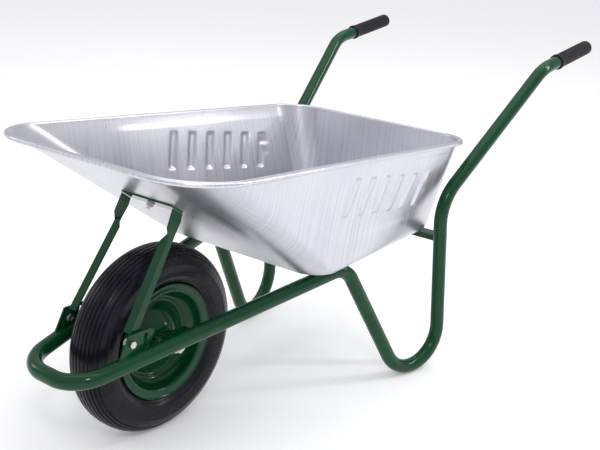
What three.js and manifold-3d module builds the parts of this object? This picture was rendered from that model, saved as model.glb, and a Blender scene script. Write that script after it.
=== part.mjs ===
// A single-wheel garden wheelbarrow: galvanised tray, one-piece bent tube frame, pneumatic wheel.
// Millimetres, +Z up.  +Y runs from the wheel to the handles, +X is the user's left.
// Until the last lines, y = 0 is at the wheel's axle and z = 0 is the ground.

import * as THREE from 'three';
import { mergeVertices } from 'three/addons/utils/BufferGeometryUtils.js';
import Module from 'manifold-3d';

const wasm = await Module();
wasm.setup();

// ---------------------------------------------------------------- driving dimensions

const GAP = 0.3;                  // clearance between neighbouring pieces

const frameTube = {
  radius: 16,
  wall: 1.8,
  sides: 12,
  halfWidthAtAxle: 125.7,         // centre line's x above the axle
  splay: 0.1888,                  // x gained for each mm of y, from bow to leg
  heightAtAxle: 240.8,            // centre line's z above the axle
  rise: 0.1595,                   // z gained for each mm of y, from bow to leg
};

// Corners of the bent tube's centre line, where straight runs would meet.

const bow = { y: -262, bend: 72 };
const legTop = { y: 384, bend: 55 };
const foot = { x: 278, y: 682.5, z: -233.4 };
const handleFoot = { x: 257, y: 667.5, z: 406, bend: 120 };
const handleTop = { x: 319, y: 996, z: 694.4, bend: 105 };
const gripEnd = new THREE.Vector3(322, 1228, 730);

const grip = { length: 165, radius: 18, collarRadius: 19.6, collarLength: 9, endWall: 6, bore: 16.5 };

const tyre = { radius: 197, segments: 40 };
const rim = { thickness: 2.2, segments: 28 };
const hub = { radius: 25, bore: 20.8, halfLength: 50, segments: 18 };
const bearing = { inner: 37, outer: 49, outerRaceBore: 17.2, innerRaceRadius: 11.6, ballCircle: 14.4 };
const axle = { radius: 8, bore: 8.4, halfLength: 86, nutRadius: 12.5, nutHeight: 10 };
const valve = { offset: -16, angle: THREE.MathUtils.degToRad(205), radius: 4, top: 107, bottom: 73 };

const axleBracket = { inner: 66, thickness: 4, shelfHeight: 229, rear: 22, front: -85 };
const strutBolt = { x: 91.5, y: -144, z: 255 };
const strut = {
  thickness: 3,
  lean: 0.07,
  flangeWidth: 20,
  flangeTip: 8,
  flangeFoot: { y: -141.4, z: 272 },
  flangeHead: { y: -34, z: 435.5 },
};
const strutBracket = { thickness: 4, holeRadius: 4.4 };

const sheet = 1;                               // tray sheet thickness
const floorCorner = { radiusFront: 62, radiusRear: 60, fold: 23 };
const floor = { front: 248, rear: 732, halfFront: 239, halfRear: 197 };
const rimOutline = { front: -181, rear: 756, halfFront: 298, halfRear: 267.5, zFront: 607, zRear: 542 };
const rimCorner = { radiusFront: 117, radiusRear: 80 };
const bead = { radius: 6, turn: THREE.MathUtils.degToRad(250), steps: 6 };
const outlineSteps = { corner: 5, side: 6, end: 3, wall: 3 };

const crossMember = { halfLength: 249, front: 687.6, depth: 32, height: 14, thickness: 2.5 };
const rearBoltX = 110;

// ---------------------------------------------------------------- materials

const greenPaint = new THREE.MeshStandardMaterial({ color: 0x174b2a, roughness: 0.3, metalness: 0.1 });
const galvanised = new THREE.MeshStandardMaterial({ color: 0xc9ccd2, roughness: 0.4, metalness: 0.9 });
const zinc = new THREE.MeshStandardMaterial({ color: 0xd6d8da, roughness: 0.3, metalness: 1 });
const steel = new THREE.MeshStandardMaterial({ color: 0x9a9c9f, roughness: 0.3, metalness: 1 });
const tyreRubber = new THREE.MeshStandardMaterial({ color: 0x26262c, roughness: 0.8, metalness: 0 });
const gripRubber = new THREE.MeshStandardMaterial({ color: 0x2b2730, roughness: 0.7, metalness: 0 });

// ---------------------------------------------------------------- solids and booleans

// One closed solid: shared vertices merged, faces pointing out.
function closed(geometry) {
  const bare = geometry.index ? geometry.toNonIndexed() : geometry.clone();
  bare.deleteAttribute('normal');
  bare.deleteAttribute('uv');
  const merged = mergeVertices(bare, 1e-3);
  dropFlatTriangles(merged);
  if (signedVolume(merged) < 0) flip(merged);
  return merged;
}

function dropFlatTriangles(geometry) {
  const kept = [];
  const index = geometry.index.array;
  for (let i = 0; i < index.length; i += 3) {
    const [a, b, c] = [index[i], index[i + 1], index[i + 2]];
    if (a !== b && b !== c && c !== a) kept.push(a, b, c);
  }
  geometry.setIndex(kept);
}

function flip(geometry) {
  const index = geometry.index.array;
  for (let i = 0; i < index.length; i += 3) {
    const first = index[i];
    index[i] = index[i + 1];
    index[i + 1] = first;
  }
}

function signedVolume(geometry) {
  const position = geometry.attributes.position;
  const index = geometry.index.array;
  const [a, b, c] = [new THREE.Vector3(), new THREE.Vector3(), new THREE.Vector3()];
  let volume = 0;
  for (let i = 0; i < index.length; i += 3) {
    a.fromBufferAttribute(position, index[i]);
    b.fromBufferAttribute(position, index[i + 1]);
    c.fromBufferAttribute(position, index[i + 2]);
    volume += a.dot(b.cross(c)) / 6;
  }
  return volume;
}

function toManifold(geometry) {
  const solid = closed(geometry);
  return new wasm.Manifold(new wasm.Mesh({
    numProp: 3,
    vertProperties: new Float32Array(solid.attributes.position.array),
    triVerts: new Uint32Array(solid.index.array),
  }));
}

function fromManifold(manifold) {
  const mesh = manifold.getMesh();
  const geometry = new THREE.BufferGeometry();
  geometry.setAttribute('position', new THREE.BufferAttribute(new Float32Array(mesh.vertProperties), 3));
  geometry.setIndex([...mesh.triVerts]);
  return geometry;
}

function cut(geometry, ...tools) {
  const result = tools.reduce((body, tool) => body.subtract(toManifold(tool)), toManifold(geometry));
  return fromManifold(result);
}

function join(first, ...others) {
  const result = others.reduce((body, other) => body.add(toManifold(other)), toManifold(first));
  return fromManifold(result);
}

// ---------------------------------------------------------------- scene helpers

const wheelbarrow = new THREE.Group();
wheelbarrow.name = 'wheelbarrow';

function add(name, geometry, material) {
  const mesh = new THREE.Mesh(closed(geometry), material);
  mesh.name = name;
  wheelbarrow.add(mesh);
  return mesh;
}

// The same piece on both sides: the left one as built, the right one its mirror image.
function addPair(name, geometry, material) {
  add(`left_${name}`, geometry, material);
  add(`right_${name}`, geometry.clone().scale(-1, 1, 1), material);
}

// A prism of a side-view outline, [y, z] points, from x = low to x = high.
function sidePlate(shape, low, high, curveSegments = 8) {
  const geometry = new THREE.ExtrudeGeometry(shape, { depth: high - low, bevelEnabled: false, curveSegments });
  geometry.applyMatrix4(new THREE.Matrix4().makeBasis(
    new THREE.Vector3(0, 1, 0), new THREE.Vector3(0, 0, 1), new THREE.Vector3(1, 0, 0)));
  return geometry.translate(low, 0, 0);
}

function polygon(points) {
  return new THREE.Shape(points.map(([a, b]) => new THREE.Vector2(a, b)));
}

function roundHole(a, b, radius) {
  return new THREE.Path().absarc(a, b, radius, 0, 2 * Math.PI);
}

// A round solid about the X axis, from [radius, x] points.
function turned(points, segments) {
  const profile = points.map(([radius, x]) => new THREE.Vector2(radius, x));
  return new THREE.LatheGeometry(profile, segments).rotateZ(-Math.PI / 2);
}

function ring(innerRadius, outerRadius, low, high, segments) {
  return turned([
    [innerRadius, low], [outerRadius, low], [outerRadius, high], [innerRadius, high], [innerRadius, low],
  ], segments);
}

function rod(radius, low, high, segments) {
  return turned([[0, low], [radius, low], [radius, high], [0, high]], segments);
}

// ---------------------------------------------------------------- bent tube

// A centre line known only at its stations: the ends of straight runs and steps round each bend.
class StationCurve extends THREE.Curve {
  constructor(stations) {
    super();
    this.stations = stations;
  }

  at(u) {
    return this.stations[Math.round(u * (this.stations.length - 1))];
  }

  getPointAt(u, target = new THREE.Vector3()) {
    return target.copy(this.at(u).point);
  }

  getTangentAt(u, target = new THREE.Vector3()) {
    return target.copy(this.at(u).tangent);
  }
}

// The stations of one bend: an arc tangent to both straight runs that meet at the corner.
function bendStations(before, corner, after, radius, steps) {
  const incoming = corner.clone().sub(before).normalize();
  const outgoing = after.clone().sub(corner).normalize();
  const turn = incoming.angleTo(outgoing);
  const start = corner.clone().addScaledVector(incoming, -radius * Math.tan(turn / 2));
  const inward = outgoing.clone().addScaledVector(incoming, -outgoing.dot(incoming)).normalize();
  return Array.from({ length: steps + 1 }, (_, i) => {
    const angle = turn * i / steps;
    const point = start.clone()
      .addScaledVector(incoming, radius * Math.sin(angle))
      .addScaledVector(inward, radius * (1 - Math.cos(angle)));
    const tangent = incoming.clone().multiplyScalar(Math.cos(angle))
      .addScaledVector(inward, Math.sin(angle));
    return { point, tangent };
  });
}

function tubeX(y) {
  return frameTube.halfWidthAtAxle + frameTube.splay * y;
}

function tubeZ(y) {
  return frameTube.heightAtAxle + frameTube.rise * y;
}

// The foot's bend radius follows from the tube's underside just meeting the ground.
function footBend(before, corner, after) {
  const up = before.clone().sub(corner).normalize();
  const back = after.clone().sub(corner).normalize();
  const half = up.angleTo(back) / 2;
  const bisector = up.add(back).normalize();
  return (frameTube.radius - corner.z) / (bisector.z / Math.sin(half) - 1);
}

const handleTopPoint = new THREE.Vector3(handleTop.x, handleTop.y, handleTop.z);
const gripAxis = gripEnd.clone().sub(handleTopPoint).normalize();

const corners = {
  gripEnd: gripEnd.clone().addScaledVector(gripAxis, -grip.endWall - GAP),
  handleTop: handleTopPoint,
  handleFoot: new THREE.Vector3(handleFoot.x, handleFoot.y, handleFoot.z),
  foot: new THREE.Vector3(foot.x, foot.y, foot.z),
  legTop: new THREE.Vector3(tubeX(legTop.y), legTop.y, tubeZ(legTop.y)),
  bow: new THREE.Vector3(tubeX(bow.y), bow.y, tubeZ(bow.y)),
};

function leftSideStations() {
  const c = corners;
  const acrossBow = c.bow.clone().setX(-c.bow.x);
  const straightStart = c.handleTop.clone().sub(c.gripEnd).normalize();
  return [
    { point: c.gripEnd.clone(), tangent: straightStart },
    ...bendStations(c.gripEnd, c.handleTop, c.handleFoot, handleTop.bend, 4),
    ...bendStations(c.handleTop, c.handleFoot, c.foot, handleFoot.bend, 5),
    ...bendStations(c.handleFoot, c.foot, c.legTop, footBend(c.handleFoot, c.foot, c.legTop), 10),
    ...bendStations(c.foot, c.legTop, c.bow, legTop.bend, 5),
    ...bendStations(c.legTop, c.bow, acrossBow, bow.bend, 6),
  ];
}

function frameStations() {
  const left = leftSideStations();
  const mirror = (v) => new THREE.Vector3(-v.x, v.y, v.z);
  const right = left.map(({ point, tangent }) => ({ point: mirror(point), tangent: mirror(tangent).negate() }));
  return [...left, ...right.reverse()];
}

function buildFrameTube() {
  const stations = frameStations();
  const section = new THREE.Shape().absarc(0, 0, frameTube.radius, 0, 2 * Math.PI);
  section.holes.push(roundHole(0, 0, frameTube.radius - frameTube.wall));
  return new THREE.ExtrudeGeometry(section, {
    extrudePath: new StationCurve(stations),
    steps: stations.length - 1,
    curveSegments: frameTube.sides / 2,
  });
}

add('frame_tube', buildFrameTube(), greenPaint);

// ---------------------------------------------------------------- grips

function buildGrip() {
  const { length, radius, collarRadius, collarLength, endWall, bore } = grip;
  const rounding = 5;
  const profile = [
    [bore, -length], [collarRadius, -length], [collarRadius, collarLength - length], [radius, collarLength + 3 - length],
    [radius, -rounding], [radius - rounding * 0.3, -rounding * 0.3], [radius - rounding, 0], [0, 0],
  ];
  const outside = profile.map(([r, h]) => new THREE.Vector2(r, h));
  const inside = [new THREE.Vector2(0, -endWall), new THREE.Vector2(bore, -endWall), new THREE.Vector2(bore, -length)];
  const sleeve = new THREE.LatheGeometry([...outside, ...inside], 20);
  const toAxis = new THREE.Quaternion().setFromUnitVectors(new THREE.Vector3(0, 1, 0), gripAxis);
  return sleeve.applyQuaternion(toAxis).translate(gripEnd.x, gripEnd.y, gripEnd.z);
}

addPair('grip', buildGrip(), gripRubber);

// ---------------------------------------------------------------- tray

// A tapered four-sided outline with rounded corners, seen from above.
// The corners come in order from the left front, so every other run after a corner is a long side.
function roundedOutline(outline, radiusFront, radiusRear) {
  const { front, rear, halfFront, halfRear } = outline;
  const corner = [
    [halfFront, front, radiusFront], [halfRear, rear, radiusRear],
    [-halfRear, rear, radiusRear], [-halfFront, front, radiusFront],
  ].map(([x, y, radius]) => ({ point: new THREE.Vector3(x, y, 0), radius }));
  const arcs = corner.map(({ point, radius }, i) => {
    const before = corner[(i + 3) % 4].point;
    const after = corner[(i + 1) % 4].point;
    return bendStations(before, point, after, radius, outlineSteps.corner).map((station) => station.point);
  });
  return arcs.flatMap((arc, i) => {
    const pieces = i % 2 === 0 ? outlineSteps.side : outlineSteps.end;
    return [...arc, ...between(arc[arc.length - 1], arcs[(i + 1) % 4][0], pieces)];
  });
}

// The points that part a straight run into equal pieces, without the run's two ends.
function between(start, end, pieces) {
  return Array.from({ length: pieces - 1 }, (_, i) => start.clone().lerp(end, (i + 1) / pieces));
}

function floorHeight() {
  const c = corners;
  const slope = Math.atan2(frameTube.rise, Math.hypot(1, frameTube.splay));
  const turn = c.legTop.clone().sub(c.bow).angleTo(c.foot.clone().sub(c.legTop));
  const bendStart = c.legTop.z - legTop.bend * Math.tan(turn / 2) * Math.sin(slope);
  return bendStart + legTop.bend * (1 - Math.cos(slope)) + frameTube.radius + GAP;
}

const floorZ = floorHeight();                  // underside of the tray's floor

// The sheet's underside as rings of points, from the flat floor out to the rolled edge.
function traySheet() {
  const low = roundedOutline(floor, floorCorner.radiusFront, floorCorner.radiusRear);
  const high = roundedOutline(rimOutline, rimCorner.radiusFront, rimCorner.radiusRear);
  const rimSpan = rimOutline.rear - rimOutline.front;
  low.forEach((point) => point.setZ(floorZ));
  high.forEach((point) => {
    const along = (point.y - rimOutline.front) / rimSpan;
    point.setZ(THREE.MathUtils.lerp(rimOutline.zFront, rimOutline.zRear, along));
  });
  const walls = low.map((point, i) => high[i].clone().sub(point));
  const flat = insetOutline(low, floorCorner.fold);
  const foldEnd = low.map((point, i) => point.clone().addScaledVector(walls[i].clone().normalize(), floorCorner.fold));
  const foldRings = [0, 0.25, 0.5, 0.75, 1].map((t) => low.map((point, i) => new THREE.Vector3()
    .addScaledVector(flat[i], (1 - t) ** 2)
    .addScaledVector(point, 2 * t * (1 - t))
    .addScaledVector(foldEnd[i], t ** 2)));
  const wallRings = Array.from({ length: outlineSteps.wall - 1 }, (_, step) => foldEnd
    .map((point, i) => point.clone().lerp(high[i], (step + 1) / outlineSteps.wall)));
  return [...foldRings, ...wallRings, ...beadRings(high)];
}

// The outline moved inwards on its own plane by the same distance everywhere.
function insetOutline(points, distance) {
  const count = points.length;
  return points.map((point, i) => {
    const along = points[(i + 1) % count].clone().sub(points[(i + count - 1) % count]).normalize();
    return point.clone().add(new THREE.Vector3(-along.y, along.x, 0).multiplyScalar(distance));
  });
}

// The rolled edge: an arc that leaves the wall at its top and curls outwards and down.
function beadRings(outline) {
  const outward = insetOutline(outline, -1).map((point, i) => point.sub(outline[i]).setZ(0).normalize());
  return Array.from({ length: bead.steps + 1 }, (_, step) => {
    const angle = Math.PI - bead.turn * step / bead.steps;
    return outline.map((point, i) => point.clone()
      .addScaledVector(outward[i], bead.radius * (1 + Math.cos(angle)))
      .add(new THREE.Vector3(0, 0, bead.radius * Math.sin(angle))));
  });
}

// The sheet's other face: every point moved by the sheet's thickness along the surface's normal.
function thickened(rings, thickness) {
  const count = rings[0].length;
  return rings.map((loop, j) => loop.map((point, i) => {
    const around = loop[(i + 1) % count].clone().sub(loop[(i + count - 1) % count]);
    const up = rings[Math.min(j + 1, rings.length - 1)][i].clone().sub(rings[Math.max(j - 1, 0)][i]);
    const normal = j === 0 ? new THREE.Vector3(0, 0, 1) : up.cross(around).normalize();
    return point.clone().addScaledVector(normal, thickness);
  }));
}

// A closed sheet between two matching sets of rings: the floor's fan, the walls, the rolled edge.
// Both faces are split along the same diagonals, so they stay one thickness apart.
function shell(under, inside) {
  const count = under[0].length;
  const offset = under.length * count;
  const edge = offset - count;
  const points = [...under.flat(), ...inside.flat(), centroid(under[0]), centroid(inside[0])];
  const index = [];
  const quad = (a, b, c, d) => index.push(a, b, c, a, c, d);
  for (let i = 0; i < count; i += 1) {
    const next = (i + 1) % count;
    for (let start = 0; start < edge; start += count) {
      const [a, b] = [start + i, start + next];
      quad(a, b, b + count, a + count);
      index.push(offset + a, offset + b + count, offset + b, offset + a, offset + a + count, offset + b + count);
    }
    quad(edge + i, edge + next, offset + edge + next, offset + edge + i);
    index.push(2 * offset, next, i, 2 * offset + 1, offset + i, offset + next);
  }
  const geometry = new THREE.BufferGeometry().setFromPoints(points);
  geometry.setIndex(index);
  return geometry;
}

function centroid(points) {
  return points.reduce((sum, point) => sum.add(point), new THREE.Vector3()).divideScalar(points.length);
}

const frontWallNormal = new THREE.Vector3(0, floorZ - rimOutline.zFront, rimOutline.front - floor.front).normalize();
const frontWallUp = new THREE.Vector3(0, rimOutline.front - floor.front, rimOutline.zFront - floorZ).normalize();

// A point on the front wall's underside, at a given y.
function onFrontWall(y) {
  const fraction = (floor.front - y) / (floor.front - rimOutline.front);
  return new THREE.Vector3(0, y, THREE.MathUtils.lerp(floorZ, rimOutline.zFront, fraction));
}

// Moves a piece built about the Z axis so that Z follows the given direction at the given point.
function alongDirection(geometry, direction, origin) {
  const turn = new THREE.Quaternion().setFromUnitVectors(new THREE.Vector3(0, 0, 1), direction);
  return geometry.applyQuaternion(turn).translate(origin.x, origin.y, origin.z);
}

function upright(radius, low, high, sides) {
  const geometry = new THREE.CylinderGeometry(radius, radius, high - low, sides);
  return geometry.rotateX(Math.PI / 2).translate(0, 0, (low + high) / 2);
}

const clampPlate = { y: -6, width: 34, halfLength: 73, thickness: 3 };
const clampPoint = onFrontWall(clampPlate.y);
const rearBoltY = crossMember.front + crossMember.depth / 2 - 4;
const boltHole = 4.4;

function buildTray() {
  const under = traySheet();
  const solid = shell(under, thickened(under, sheet));
  const frontHole = alongDirection(upright(boltHole, -20, 20, 12), frontWallNormal, clampPoint);
  const rearHoles = [rearBoltX, -rearBoltX].map((x) => upright(boltHole, -10, 10, 12).translate(x, rearBoltY, floorZ));
  return cut(solid, frontHole, ...rearHoles);
}

add('tray', buildTray(), galvanised);

// ---------------------------------------------------------------- bolts, nuts and washers

const fastener = { shank: 4, headRadius: 7.5, headHeight: 5.3, nutHeight: 6.5, washerRadius: 8.5, washerThickness: 1.6 };

// A hex bolt along Z: its head's underside at z = 0 and its shank going down.
function hexBolt(length) {
  const head = upright(fastener.headRadius, 0, fastener.headHeight, 6);
  return join(head, upright(fastener.shank, -length, 0.5, 12));
}

// A round-headed coach bolt along Z, for the tray's inside.
function coachBolt(length) {
  const { headRadius, shank } = fastener;
  const dome = [[0, 3.6], [4.5, 3.1], [7.4, 1.7], [headRadius + 1, 0], [shank, 0], [shank, -length], [0, -length]];
  const profile = dome.map(([r, h]) => new THREE.Vector2(r, h));
  return new THREE.LatheGeometry(profile, 16).rotateX(Math.PI / 2);
}

// A prism along Z with a round hole up its middle.
function perforated(sides, radius, bore, height) {
  const outline = Array.from({ length: sides }, (_, i) => {
    const angle = 2 * Math.PI * i / sides;
    return [radius * Math.cos(angle), radius * Math.sin(angle)];
  });
  const shape = polygon(outline);
  shape.holes.push(roundHole(0, 0, bore));
  return new THREE.ExtrudeGeometry(shape, { depth: height, bevelEnabled: false, curveSegments: 6 });
}

function hexNut() {
  return perforated(6, fastener.headRadius, boltHole, fastener.nutHeight);
}

function washer() {
  return perforated(16, fastener.washerRadius, boltHole, fastener.washerThickness);
}

// ---------------------------------------------------------------- front struts and their clamp plate

// One strut in side view: a narrow leg, widening to a head cut parallel to the tray's front wall.
function strutSideShape() {
  const shape = polygon([
    [-161.8, 241], [-140.9, 241], [-17, 438], [-1, 460], [4, 475.2], [-19, 491], [-36.5, 455], [-34, 436],
  ]);
  shape.holes.push(roundHole(strutBolt.y, strutBolt.z, boltHole));
  return shape;
}

// The strip folded over from the leg's front edge; its top runs up at a slant to a blunt tip.
function strutFlange() {
  const { thickness, flangeWidth, flangeTip, flangeFoot, flangeHead } = strut;
  const up = new THREE.Vector3(0, flangeHead.y - flangeFoot.y, flangeHead.z - flangeFoot.z);
  const length = up.length();
  up.normalize();
  const outline = polygon([
    [0.5, 0], [0.5, length], [flangeTip, length + flangeTip], [flangeWidth, length - 10], [flangeWidth, 0],
  ]);
  const flange = new THREE.ExtrudeGeometry(outline, { depth: thickness, bevelEnabled: false });
  const across = new THREE.Vector3(-1, 0, 0);
  const basis = new THREE.Matrix4().makeBasis(across, up, across.clone().cross(up));
  return flange.applyMatrix4(basis).translate(0, flangeFoot.y, flangeFoot.z);
}

function buildStrut() {
  const { thickness, lean } = strut;
  const leg = sidePlate(strutSideShape(), -thickness, 0);
  const leaning = new THREE.Matrix4().set(
    1, 0, -lean, strutBolt.x + lean * strutBolt.z,
    0, 1, 0, 0,
    0, 0, 1, 0,
    0, 0, 0, 1);
  return join(leg, strutFlange()).applyMatrix4(leaning);
}

function buildClampPlate() {
  const { width, halfLength, thickness } = clampPlate;
  const outline = polygon([
    [-halfLength, -width / 2], [halfLength, -width / 2], [halfLength, width / 2], [-halfLength, width / 2],
  ]);
  outline.holes.push(roundHole(0, 0, boltHole));
  const plate = new THREE.ExtrudeGeometry(outline, { depth: thickness, bevelEnabled: false, curveSegments: 6 });
  const basis = new THREE.Matrix4().makeBasis(new THREE.Vector3(-1, 0, 0), frontWallUp, frontWallNormal);
  const seat = clampPoint.clone().addScaledVector(frontWallNormal, GAP);
  return plate.applyMatrix4(basis).translate(seat.x, seat.y, seat.z);
}

addPair('strut', buildStrut(), greenPaint);
add('strut_clamp_plate', buildClampPlate(), greenPaint);

function addFrontTrayBolt() {
  const inward = frontWallNormal.clone().negate();
  const insideFace = clampPoint.clone().addScaledVector(inward, sheet + GAP);
  const nutFace = clampPoint.clone().addScaledVector(frontWallNormal, clampPlate.thickness + 2 * GAP + fastener.washerThickness + GAP);
  const washerFace = clampPoint.clone().addScaledVector(frontWallNormal, clampPlate.thickness + 2 * GAP);
  add('front_tray_bolt', alongDirection(coachBolt(20), inward, insideFace), zinc);
  add('front_tray_washer', alongDirection(washer(), frontWallNormal, washerFace), zinc);
  add('front_tray_nut', alongDirection(hexNut(), frontWallNormal, nutFace), zinc);
}

addFrontTrayBolt();

// ---------------------------------------------------------------- strut brackets on the tube

const bracketInner = strutBolt.x + GAP + strut.lean * 25;

function bracketShape() {
  const bottom = (y) => tubeZ(y) + frameTube.radius + GAP;
  const shape = polygon([
    [-172, bottom(-172)], [-99, bottom(-99)], [-87, 262], [-88, 268], [-92, 272], [-98, 274], [-149, 274],
  ]);
  const slot = new THREE.Path();
  slot.moveTo(-118, 247).lineTo(-109, 243.5).lineTo(-102, 265).lineTo(-111, 268.5);
  slot.closePath();
  shape.holes.push(roundHole(strutBolt.y, strutBolt.z, strutBracket.holeRadius), slot);
  return shape;
}

addPair('strut_bracket', sidePlate(bracketShape(), bracketInner, bracketInner + strutBracket.thickness), greenPaint);

function strutBoltPiece(geometry, x) {
  const outwards = new THREE.Vector3(1, 0, 0);
  return alongDirection(geometry, outwards, new THREE.Vector3(x, strutBolt.y, strutBolt.z));
}

const strutNutX = strutBolt.x - strut.thickness - 1.2 - fastener.nutHeight;
addPair('strut_bolt', strutBoltPiece(hexBolt(16), bracketInner + strutBracket.thickness + GAP), zinc);
addPair('strut_nut', strutBoltPiece(hexNut(), strutNutX), zinc);

// ---------------------------------------------------------------- axle brackets

const shelfBolt = { x: 80, y: -62 };

function buildAxleBracket() {
  const { inner, thickness, shelfHeight, rear, front } = axleBracket;
  const cheek = polygon([
    [front, shelfHeight + 1], [front, 217], [-20, 185], [17, 185], [rear, 190], [rear, shelfHeight + 1],
  ]);
  cheek.holes.push(roundHole(0, tyre.radius, axle.bore));
  const tubeSide = (y) => tubeX(y) - frameTube.radius * Math.hypot(1, frameTube.splay) - GAP;
  const shelf = polygon([
    [inner, front], [tubeSide(front), front], [tubeSide(rear), rear], [inner, rear],
  ]);
  shelf.holes.push(roundHole(shelfBolt.x, shelfBolt.y, boltHole));
  const top = new THREE.ExtrudeGeometry(shelf, { depth: thickness, bevelEnabled: false, curveSegments: 6 });
  return join(sidePlate(cheek, inner, inner + thickness, 10), top.translate(0, 0, shelfHeight));
}

addPair('axle_bracket', buildAxleBracket(), greenPaint);

function addShelfBolts() {
  const top = axleBracket.shelfHeight + axleBracket.thickness + GAP;
  const under = axleBracket.shelfHeight - GAP - fastener.nutHeight;
  addPair('bracket_bolt', hexBolt(15).translate(shelfBolt.x, shelfBolt.y, top), zinc);
  addPair('bracket_nut', hexNut().translate(shelfBolt.x, shelfBolt.y, under), zinc);
}

addShelfBolts();

// ---------------------------------------------------------------- rear cross-member

function buildCrossMember() {
  const { halfLength, front, depth, height, thickness } = crossMember;
  const rear = front + depth;
  const top = floorZ - GAP;
  const bottom = top - height;
  const channel = polygon([
    [front, bottom], [front + thickness, bottom], [front + thickness, top - thickness],
    [rear - thickness, top - thickness], [rear - thickness, bottom], [rear, bottom], [rear, top], [front, top],
  ]);
  const holes = [rearBoltX, -rearBoltX].map((x) => upright(boltHole, -30, 30, 12).translate(x, rearBoltY, top));
  return cut(sidePlate(channel, -halfLength, halfLength), ...holes);
}

add('rear_cross_member', buildCrossMember(), greenPaint);

function addRearTrayBolts() {
  const inside = floorZ + sheet + GAP;
  const under = floorZ - GAP - crossMember.thickness - GAP;
  const washerBottom = under - fastener.washerThickness;
  const nutBottom = washerBottom - GAP - fastener.nutHeight;
  addPair('rear_tray_bolt', coachBolt(18).translate(rearBoltX, rearBoltY, inside), zinc);
  addPair('rear_tray_washer', washer().translate(rearBoltX, rearBoltY, washerBottom), zinc);
  addPair('rear_tray_nut', hexNut().translate(rearBoltX, rearBoltY, nutBottom), zinc);
}

addRearTrayBolts();

// ---------------------------------------------------------------- wheel

const axleHeight = tyre.radius;

function onAxle(geometry) {
  return geometry.translate(0, 0, axleHeight);
}

// Right half of a symmetric section, from its outside crown to its bead and back along the inside.
function tyreProfile() {
  const outside = [
    [197, 0], [195, 18], [187.5, 33], [171, 45.5], [152, 50], [136, 47.6],
    [124, 39], [119.5, 36.7], [110, 36.7], [105.2, 34.2],
  ];
  const inside = [[103.7, 30], [103.7, 26], [116, 32.5], [150, 42.5], [178, 30.5], [188.4, 0]];
  const half = [...outside, ...inside];
  const mirrored = half.slice(1, -1).reverse().map(([radius, x]) => [radius, -x]);
  return [...half, ...mirrored, half[0]];
}

// The closed loop round a pressed sheet, given the points of its middle surface.
function sheetLoop(middle, thickness) {
  const points = middle.map(([radius, x]) => new THREE.Vector2(radius, x));
  const side = (sign) => points.map((point, i) => {
    const ahead = points[Math.min(i + 1, points.length - 1)];
    const behind = points[Math.max(i - 1, 0)];
    const along = ahead.clone().sub(behind).normalize();
    return [point.x - sign * along.y * thickness / 2, point.y + sign * along.x * thickness / 2];
  });
  const loop = [...side(1), ...side(-1).reverse()];
  return [...loop, loop[0]];
}

// One pressed half of the wheel: flange, bead seat, barrel, and the disc that domes out to the hub.
const rimHalf = [
  [121, 41.3], [117.5, 39], [108, 38.6], [102.9, 36.2], [100.6, 23],
  [86.5, 5.8], [79.5, 1.6], [68, 1.6], [46, 25], [26.6, 37],
];

function buildTyre() {
  return onAxle(turned(tyreProfile(), tyre.segments));
}

function innerTubeProfile() {
  const middle = [];
  const open = THREE.MathUtils.degToRad(168);
  const steps = 7;
  for (let i = 0; i <= steps; i += 1) {
    const angle = -open + 2 * open * i / steps;
    middle.push([147 + 34 * Math.cos(angle), 33 * Math.sin(angle)]);
  }
  return sheetLoop(middle, 2);
}

function buildRimHalves() {
  const left = onAxle(turned(sheetLoop(rimHalf, rim.thickness), rim.segments));
  const right = left.clone().scale(-1, 1, 1);
  const tool = atValve(upright(valve.radius + 1, 86, 115, 12));
  add('left_rim_half', left, greenPaint);
  add('right_rim_half', cut(right, tool), greenPaint);
}

// Carries a piece built along +Z from the axle to the valve's place on the rim.
function atValve(geometry) {
  return geometry.rotateX(valve.angle).translate(valve.offset, 0, axleHeight);
}

function buildValveStem() {
  const { radius, top, bottom } = valve;
  const profile = [
    [0, top], [radius + 4, top], [radius + 4, top - 2.5], [radius, top - 4],
    [radius, bottom + 8], [radius - 1, bottom + 7], [radius - 1, bottom], [0, bottom],
  ];
  const points = profile.map(([r, h]) => new THREE.Vector2(r, h));
  return atValve(new THREE.LatheGeometry(points, 12).rotateX(Math.PI / 2));
}

function buildValveCap() {
  const { radius, bottom } = valve;
  const outer = radius + 0.6;
  const bore = radius - 1 + GAP;
  const profile = [
    [bore, bottom + 6], [outer, bottom + 6], [outer, bottom - 4], [outer - 1.5, bottom - 5.5], [0, bottom - 5.5],
    [0, bottom - GAP - 1], [bore, bottom - GAP - 1], [bore, bottom + 6],
  ];
  const points = profile.map(([r, h]) => new THREE.Vector2(r, h));
  return atValve(new THREE.LatheGeometry(points, 12).rotateX(Math.PI / 2));
}

function ballRing() {
  const { ballCircle, inner, outer } = bearing;
  const centre = (inner + outer) / 2;
  const profile = Array.from({ length: 7 }, (_, i) => {
    const angle = Math.PI / 3 * i;
    return [ballCircle + 2.3 * Math.cos(angle), centre + 2.6 * Math.sin(angle)];
  });
  return turned(profile, hub.segments);
}

add('tyre', buildTyre(), tyreRubber);
add('inner_tube', onAxle(turned(innerTubeProfile(), 18)), tyreRubber);
buildRimHalves();
add('hub_tube', onAxle(ring(hub.bore, hub.radius, -hub.halfLength, hub.halfLength, hub.segments)), greenPaint);
add('valve_stem', buildValveStem(), tyreRubber);
add('valve_cap', buildValveCap(), tyreRubber);

function addBearings() {
  const { inner, outer, outerRaceBore, innerRaceRadius } = bearing;
  const outerRace = ring(outerRaceBore, hub.bore - GAP - 0.1, inner, outer, hub.segments);
  const innerRace = ring(axle.bore, innerRaceRadius, inner, outer, hub.segments);
  addPair('bearing_outer_race', onAxle(outerRace), steel);
  addPair('bearing_balls', onAxle(ballRing()), steel);
  addPair('bearing_inner_race', onAxle(innerRace), steel);
}

addBearings();

// ---------------------------------------------------------------- axle

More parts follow.
